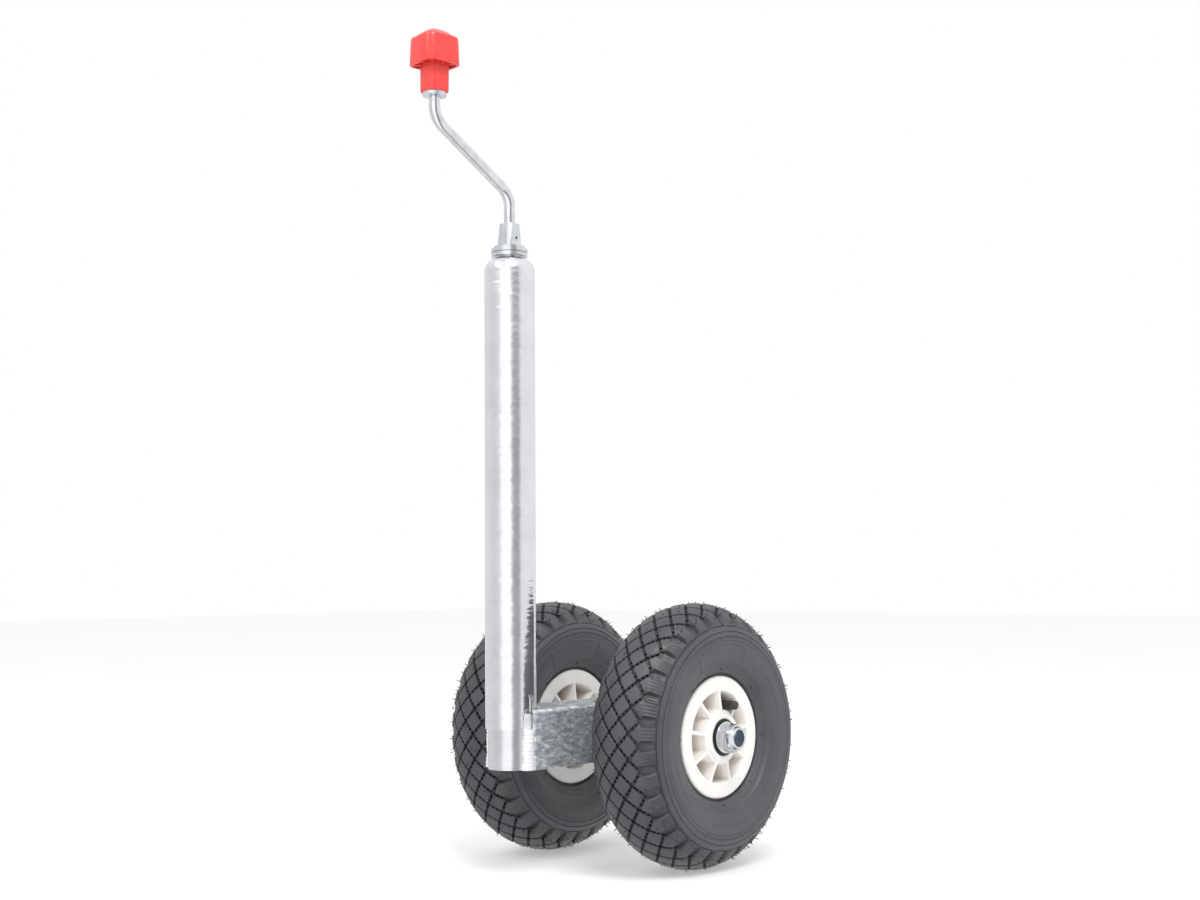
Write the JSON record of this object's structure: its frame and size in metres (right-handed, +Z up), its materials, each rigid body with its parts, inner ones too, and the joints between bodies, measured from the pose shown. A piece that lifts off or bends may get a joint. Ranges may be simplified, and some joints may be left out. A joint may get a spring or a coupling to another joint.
{
  "type": "trailer jack wheel",
  "caption": "Telescopic clamp-on trailer jack with a crank on top and a pair of pneumatic wheels on one axle behind the foot of its column.",
  "frame": {"origin": "on the column's axis, half way along the straight run of the outer tube that the coupling clamp grips", "axes": "+Z up along the column towards the crank, +X horizontally back from the column to the axle, +Y along the axle"},
  "size_m": [0.4013, 0.2954, 0.782],
  "materials": {
    "galvanised": "hot-dip galvanised, faint streaks",
    "zinc_plate": "grey zinc spangle",
    "bright_zinc": "bright zinc plate",
    "weld_metal": "rippled weld under bright zinc",
    "bearing_steel": "polished",
    "brass": "satin",
    "red_plastic": "satin moulded",
    "tyre_rubber": "matt, moulded tread",
    "tube_rubber": "matt",
    "white_nylon": "satin moulded",
    "black_plastic": "satin",
    "seal_rubber": "matt"
  },
  "bodies": {
    "column": {"outer_tube": "galvanised", "lower_race": "bright_zinc"},
    "crank": {"spindle": "zinc_plate", "thrust_collar": "zinc_plate", "end_stop": "zinc_plate", "thrust_balls": "bearing_steel", "ball_cage": "brass", "upper_race": "bright_zinc", "top_washer": "bright_zinc", "crank_socket": "bright_zinc", "roll_pin": "zinc_plate", "crank_rod": "galvanised", "push_nut": "bright_zinc", "snap_ring": "zinc_plate"},
    "knob": {"knob": "red_plastic"},
    "carriage": {"inner_tube": "galvanised", "spindle_nut": "zinc_plate", "weld_beads": "weld_metal", "axle_bracket": "zinc_plate", "axle": "zinc_plate", "crush_tube": "galvanised", "spacer_tubes": "bright_zinc", "hub_tubes": "galvanised", "inner_races": "bearing_steel", "axle_washers": "bright_zinc", "axle_nuts": "bright_zinc"},
    "near_wheel": {"near_tyre": "tyre_rubber", "near_air_tube": "tube_rubber", "near_rim": "white_nylon", "near_valve_stem": "brass", "near_valve_cap": "black_plastic", "near_outer_races": "bearing_steel", "near_wheel_balls": "bearing_steel", "near_seals": "seal_rubber"},
    "far_wheel": {"far_tyre": "tyre_rubber", "far_air_tube": "tube_rubber", "far_rim": "white_nylon", "far_valve_stem": "brass", "far_valve_cap": "black_plastic", "far_outer_races": "bearing_steel", "far_wheel_balls": "bearing_steel", "far_seals": "seal_rubber"}
  },
  "joints": [
    {"name": "crank_turn", "type": "hinge", "parent": "column", "child": "crank", "pos_m": [0, 0, 0.239], "axis": [0, 0, -1], "range_deg": [-1440, 19800]},
    {"name": "jack_slide", "type": "slide", "parent": "column", "child": "carriage", "axis": [0, 0, -1], "range_m": [-0.0161, 0.2201]},
    {"name": "knob_spin", "type": "hinge", "parent": "crank", "child": "knob", "pos_m": [-0.097, 0, 0.39], "axis": [0, 0, 1], "continuous": true},
    {"name": "near_wheel_spin", "type": "hinge", "parent": "carriage", "child": "near_wheel", "pos_m": [0.1576, -0.0937, -0.228], "axis": [0, 1, 0], "continuous": true},
    {"name": "far_wheel_spin", "type": "hinge", "parent": "carriage", "child": "far_wheel", "pos_m": [0.1576, 0.0937, -0.228], "axis": [0, 1, 0], "continuous": true}
  ],
  "couplings": [
    {"joint": "jack_slide", "follows": "crank_turn", "m_per_rad": 0.00063662}
  ]
}
